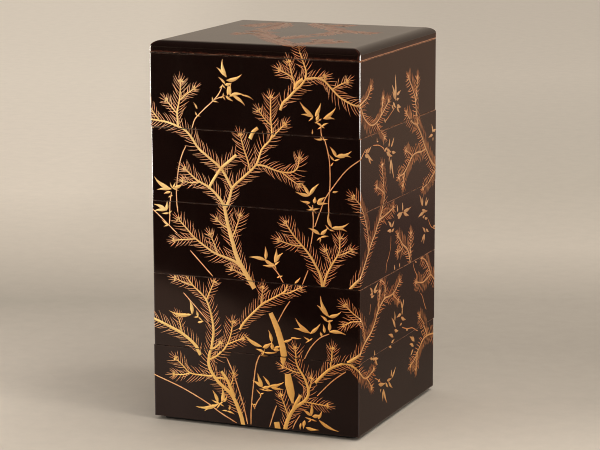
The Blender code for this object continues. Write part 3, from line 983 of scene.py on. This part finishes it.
# Boughs on the top of the lid, along, and back from where its shoulder begins.
LID_BOUGHS = [
    [(150, 4), (141, 15), (126, 30), (108, 52), (94, 71), (78, 88), (58, 84)],
    [(80, 88), (79, 101), (66, 112)], [(109, 50), (116, 64), (128, 85)],
    [(141, 16), (158, 32), (178, 54)], [(158, 33), (160, 46), (156, 60)],
    [(92, 201), (98, 190), (110, 176), (124, 161), (148, 140), (180, 132)],
    [(140, 146), (144, 124), (139, 103)], [(108, 178), (120, 186), (132, 187)],
    [(72, 192), (54, 180), (41, 152)], [(66, 189), (70, 160), (66, 130)],
]

# ---------------------------------------------------------------- from flat to round
ROUND_TRIP = 2 * (WIDTH + DEPTH)
SIDES = [  # start corner, direction and outward normal of each wall, from the front round
    (Vector((-WIDTH / 2, -DEPTH / 2)), Vector((1, 0)), Vector((0, -1))),
    (Vector((WIDTH / 2, -DEPTH / 2)), Vector((0, 1)), Vector((1, 0))),
    (Vector((WIDTH / 2, DEPTH / 2)), Vector((-1, 0)), Vector((0, 1))),
    (Vector((-WIDTH / 2, DEPTH / 2)), Vector((0, -1)), Vector((-1, 0))),
]
STARTS = [0.0, WIDTH, WIDTH + DEPTH, 2 * WIDTH + DEPTH, ROUND_TRIP]
DRAWN_CORNERS = [-DEPTH] + STARTS[:4]  # the corners that the strokes cross
SHOULDER_FOLDS = 10  # lines across the shoulder, where the strokes bend
ARC_STEPS = 90
CUT_CLOSE = 0.0005  # points this near to a cut count as on it
GOLD_CREASE = math.radians(42)
FROM_EDGE = 0.22  # how far the gold stays above a tray's lower edge
FROM_RIM = 0.30  # and below its rim
BACK_MARGIN = 4.4  # and in front of the lid's rear shoulder


def on_walls(along, up, height, centre):
    """Wraps a flat point on a tray's walls, round their rounded corners."""
    along = along % ROUND_TRIP
    side = max(k for k in range(4) if STARTS[k] <= along)
    start, direction, normal = SIDES[side]
    lift = height - RELIEF
    past = along - STARTS[side]
    place = start + direction * past + normal * lift
    if past >= CORNER:
        past = along - STARTS[side + 1]
        side = (side + 1) % 4
    if abs(past) < CORNER:
        before = SIDES[side - 1][2]
        corner, _, after = SIDES[side]
        angle = QUARTER * ((past + CORNER) / (2 * CORNER))
        outward = before * math.cos(angle) + after * math.sin(angle)
        place = corner - CORNER * (before + after) + outward * (CORNER + lift)
    return ((place.x + centre) * MM, place.y * MM, up * MM)


def shoulder_table():
    """Arc length along the lid's shoulder against its angle."""
    table = [(0.0, 0.0)]
    last = Vector(shoulder(0.0))
    for k in range(1, ARC_STEPS + 1):
        angle = QUARTER * k / ARC_STEPS
        here = Vector(shoulder(angle))
        table.append((table[-1][0] + (here - last).length, angle))
        last = here
    return table


SHOULDER_ARC = shoulder_table()
SHOULDER_LENGTH = SHOULDER_ARC[-1][0]
TOP_STARTS = SEAM[5] + LID_SIDE + SHOULDER_LENGTH


def on_lid(along, up, height, centre):
    """Wraps a flat point up the lid's front, over its shoulder and back across its top."""
    climbed = up - SEAM[5]
    depth = RELIEF - height
    if climbed <= LID_SIDE:
        inset, rise = depth, climbed
    elif up < TOP_STARTS:
        want = climbed - LID_SIDE
        k = next(i for i, (length, _) in enumerate(SHOULDER_ARC) if length >= want)
        (low, first), (high, second) = SHOULDER_ARC[max(0, k - 1)], SHOULDER_ARC[k]
        share = (want - low) / (high - low) if high > low else 0.0
        inset, rise = shoulder(first + (second - first) * share, depth)
    else:
        inset, rise = LID_SHOULDER + up - TOP_STARTS, LID_HEIGHT - depth
    return ((along - WIDTH / 2 + centre) * MM, (-DEPTH / 2 + inset) * MM, (SEAM[5] + rise) * MM)


def crease(sketch, place, normal, **cut):
    """Adds a line of points where the strokes cross a plane, so that they can bend there."""
    everything = sketch.verts[:] + sketch.edges[:] + sketch.faces[:]
    return bmesh.ops.bisect_plane(sketch, geom=everything, dist=CUT_CLOSE, plane_co=place,
                                  plane_no=normal, **cut)


def cut_off(sketch, place, normal):
    """Cuts the strokes on one plane, removes what is beyond it and closes what is left."""
    made = crease(sketch, place, normal, clear_outer=True)
    edges = [part for part in made["geom_cut"] if isinstance(part, bmesh.types.BMEdge)]
    bmesh.ops.holes_fill(sketch, edges=edges, sides=0)


def sketch_of(strokes):
    sketch = bmesh.new()
    for points, faces, coats, _ in strokes:
        made = [sketch.verts.new(point) for point in points]
        for face, coat in zip(faces, coats):
            sketch.faces.new([made[i] for i in face]).material_index = coat
    return sketch


def relief(name, pictures, low, high, creases, wrap, centre, coats):
    """The strokes between two heights as one piece of raised gold, wrapped by wrap."""
    groups = {}
    for art in pictures:
        for stroke in art.strokes:
            floor, ceiling = stroke[3]
            bottom = max(low, floor)
            top = min(high, ceiling)
            heights = [point[1] for point in stroke[0]]
            if max(heights) > bottom and min(heights) < top:
                groups.setdefault((bottom, top), []).append(stroke)
    points = []
    faces = []
    marks = []
    for (bottom, top), strokes in groups.items():
        sketch = sketch_of(strokes)
        cut_off(sketch, (0, bottom, 0), (0, -1, 0))
        cut_off(sketch, (0, top, 0), (0, 1, 0))
        for place, normal in creases:
            crease(sketch, place, normal)
        sketch.verts.index_update()
        first = len(points)
        points += [wrap(*vertex.co, centre) for vertex in sketch.verts]
        for face in sketch.faces:
            faces.append([first + vertex.index for vertex in face.verts])
            marks.append(face.material_index)
        sketch.free()
    mesh = bpy.data.meshes.new(name)
    mesh.from_pydata(points, [], faces)
    for coat in coats:
        mesh.materials.append(coat)
    mesh.polygons.foreach_set("material_index", marks)
    mesh.shade_smooth()
    mesh.set_sharp_from_angle(angle=GOLD_CREASE)
    return linked(name, mesh)


# ---------------------------------------------------------------- stage, light and camera
FLOOR_REACH = 14.0
CARD_RISE = 0.003  # metres that the cards lie above the floor
CARD_GAPS = (1.0, 1.5)  # millimetres between the box and the front and the rear card
MIDDLE = (0.0, 0.0, 0.19)  # of the box; the lights aim at it
CAMERA_PLACE = (0.9196, -2.1836, 0.6434)
CAMERA_TURN = (22.763, 10.920, -0.205)  # azimuth, elevation and roll in degrees
LENS = 143.4


def stage_plane(name, corners, material):
    mesh = bpy.data.meshes.new(name)
    mesh.from_pydata(corners, [], [list(range(len(corners)))])
    mesh.materials.append(material)
    plane = linked(name, mesh)
    return plane


def painted_reflection_card(name, corners, glow):
    """A glowing card on the floor that only reflections see, a painted reflection. glow makes its
    colour.
    """
    material, tree, shader = new_finish(name)
    feed(tree, shader, {"Base Color": 0.0, "Specular IOR Level": 0.0, "Emission Strength": 1.0,
                        "Emission Color": glow(tree, place_of(tree))})
    flag = stage_plane(name, [(x, y, CARD_RISE) for x, y in corners], material)
    for ray in ("camera", "diffuse", "shadow", "transmission", "volume_scatter"):
        setattr(flag, f"visible_{ray}", False)


def front_painted_reflection(tree, place):
    """Painted reflection for the front: pale paper near it, fading to black farther off and to the
    right.
    """
    away = along_way(tree, place, (0.546, -0.838, 0.0))
    paper = ramp(tree, away, [(0.0, (0.513, 0.418, 0.435)), (0.18, (0.644, 0.560, 0.535)),
                              (0.34, (0.706, 0.536, 0.475)), (0.398, (0.024, 0.012, 0.010))])
    across = plus(tree, along_way(tree, place, (1.0, -0.442, 0.0)), 0.5)
    right = ramp(tree, across, [(0.455, 1.0), (0.502, 0.83), (0.548, 0.55), (0.595, 0.42),
                                (0.642, 0.31)])
    return mix(tree, 1.0, paper, right, "MULTIPLY")


def side_painted_reflection(tree, place):
    """Painted reflection for the right side: painted brown shade near it, and paler farther off."""
    away = times(tree, along_way(tree, place, (0.0, 1.0, 0.0)), 0.5)
    return ramp(tree, away, [(0.08, (0.205, 0.150, 0.115)), (0.20, (0.190, 0.120, 0.088)),
                             (0.45, (0.198, 0.122, 0.098)), (0.62, (0.312, 0.196, 0.147)),
                             (0.80, (0.360, 0.235, 0.168))])


def softbox(name, place, aim, width, height, watts, colour=(1.0, 1.0, 1.0)):
    light = bpy.data.lights.new(name, "AREA")
    light.shape = "RECTANGLE"
    light.size = width
    light.size_y = height
    light.energy = watts
    light.color = colour
    lamp = linked(name, light)
    lamp.location = place
    lamp.rotation_euler = (Vector(aim) - Vector(place)).to_track_quat("-Z", "Y").to_euler()
    lamp.visible_camera = False
    return lamp


def studio_world():
    """Pale to the camera, and an even light. The gloss sees the backdrop and the dark round it."""
    world = bpy.data.worlds.new("studio")
    bpy.context.scene.world = world
    world.use_nodes = True
    tree = world.node_tree
    backdrop = add(tree, "ShaderNodeBackground", "Background", {"Color": (0.60, 0.53, 0.44)})
    even = add(tree, "ShaderNodeBackground", "Background", {"Color": (0.68, 0.67, 0.66)})
    way = add(tree, "ShaderNodeTexCoord", "Generated", {})
    rearward = plus(tree, times(tree, axis(tree, "Y", way), 0.5), 0.5)
    behind = ramp(tree, rearward, [(0.40, (0.030, 0.024, 0.020)), (0.75, (0.425, 0.352, 0.28))])
    high = ramp(tree, axis(tree, "Z", way), [(0.45, 0.0), (0.65, 1.0)])
    room = add(tree, "ShaderNodeBackground", "Background",
               {"Color": mix(tree, high, behind, (0.05, 0.042, 0.036))})
    shown = even
    for rays, view in (("Is Glossy Ray", room), ("Is Camera Ray", backdrop)):
        ray = add(tree, "ShaderNodeLightPath", rays, {})
        shown = add(tree, "ShaderNodeMixShader", "Shader", {"Fac": ray, 1: shown, 2: view})
    feed(tree, tree.nodes["World Output"], {"Surface": shown})


def make_stage():
    stage_plane("floor", [(x * FLOOR_REACH, y * FLOOR_REACH, 0)
                          for x, y in ((-1, -1), (1, -1), (1, 1), (-1, 1))], floor_paper())
    front = -(DEPTH / 2 + CARD_GAPS[0]) * MM
    side = (WIDTH / 2 + CARD_GAPS[1]) * MM
    # glowing cards that only reflections see: painted reflections of the floor in front and the room
    # beside
    painted_reflection_card("front_reflection_card", [(-3, -6), (3, -6), (3, front), (-3, front)], front_painted_reflection)
    painted_reflection_card("rear_reflection_card", [(side, -0.12), (6, -0.12), (6, 6), (side, 6)], side_painted_reflection)
    studio_world()
    overhead = softbox("overhead", (1.1, 0.1, 1.8), MIDDLE, 1.3, 1.3, 20.0, (1.0, 0.97, 0.93))
    overhead.visible_glossy = False
    for lamp in (
            softbox("key", (-1.55, -1.72, 0.50), MIDDLE, 0.9, 0.8, 37.0, (1.0, 0.93, 0.82)),
            softbox("right_key", (2.0, 0.83, 0.60), MIDDLE, 1.0, 0.8, 29.0, (1.0, 0.95, 0.90)),
            softbox("left_strip", (-0.895, 0.325, 0.17), (-0.11, 0, 0.17), 0.28, 0.24, 7.4),
            softbox("right_strip", (0.95, -0.36, 0.245), (0.1, 0, 0.245), 0.45, 0.15, 6.5),
            softbox("low_right_strip", (0.95, -0.36, 0.115), (0.1, 0, 0.115), 0.45, 0.11, 1.2)):
        lamp.visible_diffuse = False


def make_camera():
    """Above and right of the front's middle, with a long lens, as a catalogue picture is taken."""
    azimuth, elevation, roll = (math.radians(angle) for angle in CAMERA_TURN)
    back = Vector((math.sin(azimuth) * math.cos(elevation), -math.cos(azimuth) * math.cos(elevation),
                   math.sin(elevation)))
    right = Vector((0, 0, 1)).cross(back).normalized()
    up = back.cross(right)
    right, up = (right * math.cos(roll) + up * math.sin(roll),
                 up * math.cos(roll) - right * math.sin(roll))
    data = bpy.data.cameras.new("camera")
    data.sensor_width = 36.0
    data.lens = LENS
    camera = linked("camera", data)
    turn = Matrix((right, up, back)).transposed().to_4x4()
    camera.matrix_world = Matrix.Translation(CAMERA_PLACE) @ turn
    bpy.context.scene.camera = camera


# ---------------------------------------------------------------- the object
def centre_of(node):
    """How far a node sits to the right of the stack's middle."""
    low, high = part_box(node)
    return (low.x + high.x) / 2 / MM


def make_shells():
    wall = black_lacquer("black_lacquer", (0.022, 0.009, 0.006))
    cover = black_lacquer("lid_lacquer", (0.085, 0.022, 0.012))
    satin = inner_lacquer()
    corners = black_lacquer("corner_lacquer", (0.022, 0.009, 0.006), 2.4, (1.0, 0.95, 0.90))
    # Both rims carry more copper on the right side as a painted highlight; the lid's brighter brown and
    # copper are partly wear and partly a painted highlight.
    rim = rim_lacquer("worn_rim_with_highlight", (0.045, 0.016, 0.009), (0.40, 0.17, 0.08), 0.60, 0.16, 0.45)
    lid_rim = rim_lacquer("worn_lid_rim_with_highlight", (0.16, 0.055, 0.024), (0.52, 0.25, 0.14), 0.54, 0.25, 0.25)
    for node in TRAYS + [LID]:
        if node == LID:
            levels, materials = lid_levels(), [cover, lid_rim, satin, corners]
        else:
            levels, materials = tray_levels(), [wall, rim, satin, corners]
        piece = shell(node + "_shell", levels, centre_of(node), LOWER_EDGE[node], materials)
        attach(piece, BODY)
        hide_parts(node)


def draw_walls():
    """The picture that runs round the walls, and up over the lid's front edge."""
    walls = Picture(seed=7)
    walls.boughs(BOUGHS)
    walls.boughs(FROM_THE_BACK, **FAR_NEEDLES)
    walls.boughs(BACK_AND_LEFT)
    for points, widths in CUT_WOOD:
        walls.cut_wood(points, widths)
    for width, stems in HAIRS.items():
        for points in stems:
            walls.hair(points, width)
    walls.single_leaves(0, LEAVES)
    for roots_and_tips in FANS:
        walls.fan(*roots_and_tips)
    walls.single_leaves(RIGHT, RIGHT_LEAVES)
    for root, size, lean in SPRAYS:
        walls.spray(root, size, lean)
    return walls


def draw_lid():
    """The faint boughs on the top of the lid."""
    cover = Picture(seed=11, first_coat=COATS)
    for points in LID_BOUGHS:
        flat = [(along, TOP_STARTS + (back - LID_SHOULDER)) for along, back in points]
        cover.bough(flat, 2.8, 1.8, **LID_NEEDLES)
    return cover


def make_picture():
    walls = draw_walls()
    coats, lid_coats = [], []
    for name, tones, foot, bare, gloss in GOLDS:
        coats.append(gold(name, tones, foot, bare, gloss))
        lid_coats.append(gold("lid_" + name, LID_TONES, foot, bare, gloss, clear=1.0))
    ground = red_ground()
    coats.append(ground)
    lid_coats.append(ground)
    bends = []
    for corner in DRAWN_CORNERS:
        for share in (-1.0, -0.5, 0.0, 0.5, 1.0):
            bends.append(((corner + share * CORNER, 0, 0), (1, 0, 0)))
    for node in TRAYS:
        bottom = LOWER_EDGE[node] + FROM_EDGE
        top = LOWER_EDGE[node] + TRAY_PITCH - GAP - FROM_RIM
        piece = relief(node + "_gold", [walls], bottom, top, bends, on_walls, centre_of(node), coats)
        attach(piece, BODY)
    folds = [((0, SEAM[5] + LID_SIDE + SHOULDER_LENGTH * k / SHOULDER_FOLDS, 0), (0, 1, 0))
             for k in range(SHOULDER_FOLDS + 1)]
    top = TOP_STARTS + DEPTH - 2 * LID_SHOULDER - BACK_MARGIN
    piece = relief("lid_gold", [walls, draw_lid()], SEAM[5] + EDGE, top, folds, on_lid,
                   centre_of(LID), coats + lid_coats)
    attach(piece, BODY)


make_camera()
make_stage()
make_shells()
make_picture()
bpy.context.scene.view_settings.view_transform = "Standard"
bpy.context.scene.cycles.filter_width = 1.0
